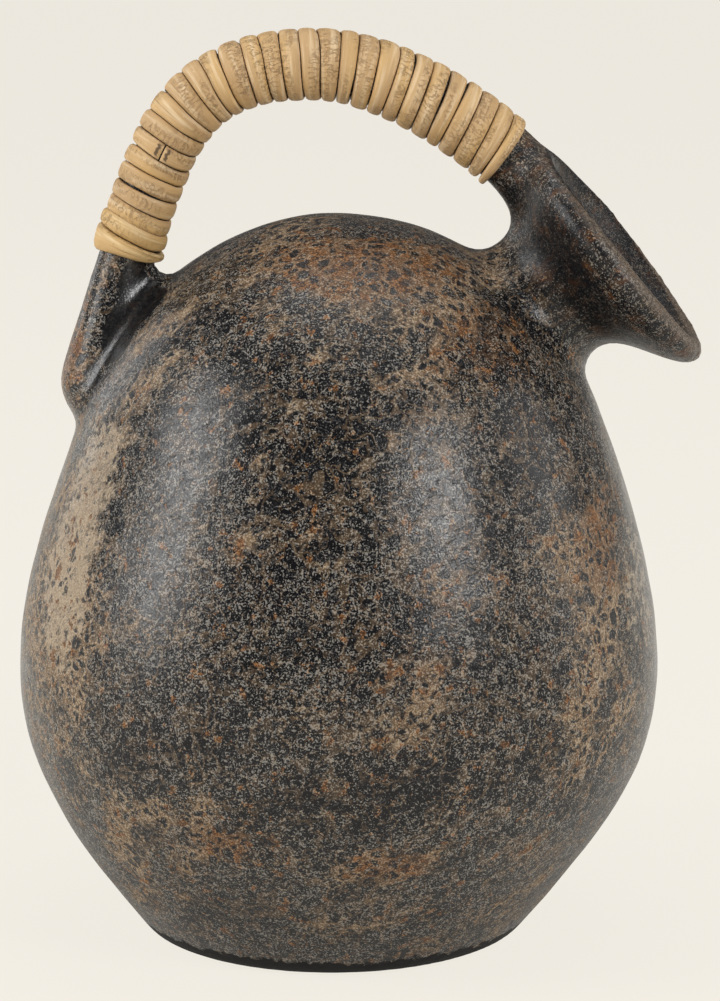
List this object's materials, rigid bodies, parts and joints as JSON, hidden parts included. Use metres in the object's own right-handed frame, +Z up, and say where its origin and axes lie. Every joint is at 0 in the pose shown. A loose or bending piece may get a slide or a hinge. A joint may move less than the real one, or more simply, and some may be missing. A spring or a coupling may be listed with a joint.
{
  "type": "jug vase",
  "caption": "Egg-shaped ceramic jug vase with a flared side spout and a cane-wound arch handle from the spout's lip to the far shoulder; holds stems or pours water.",
  "frame": {"origin": "centre of the flat base, on the surface the jug stands on", "axes": "+Z up, +X towards the spout, -Y the front face seen in the picture"},
  "size_m": [0.2248, 0.212, 0.2996],
  "materials": {
    "glaze": "satin mottled",
    "foot_clay": "matte",
    "cane": "satin split cane",
    "pale_cane": "satin split cane"
  },
  "bodies": {
    "root": {"base_disc": "foot_clay", "lower_bowl": "glaze", "upper_dome": "glaze", "spout": "glaze", "handle_arch": "glaze", "cane_strip_long": "cane", "cane_strip_short": "cane", "cane_end_binding": "pale_cane"}
  },
  "joints": []
}
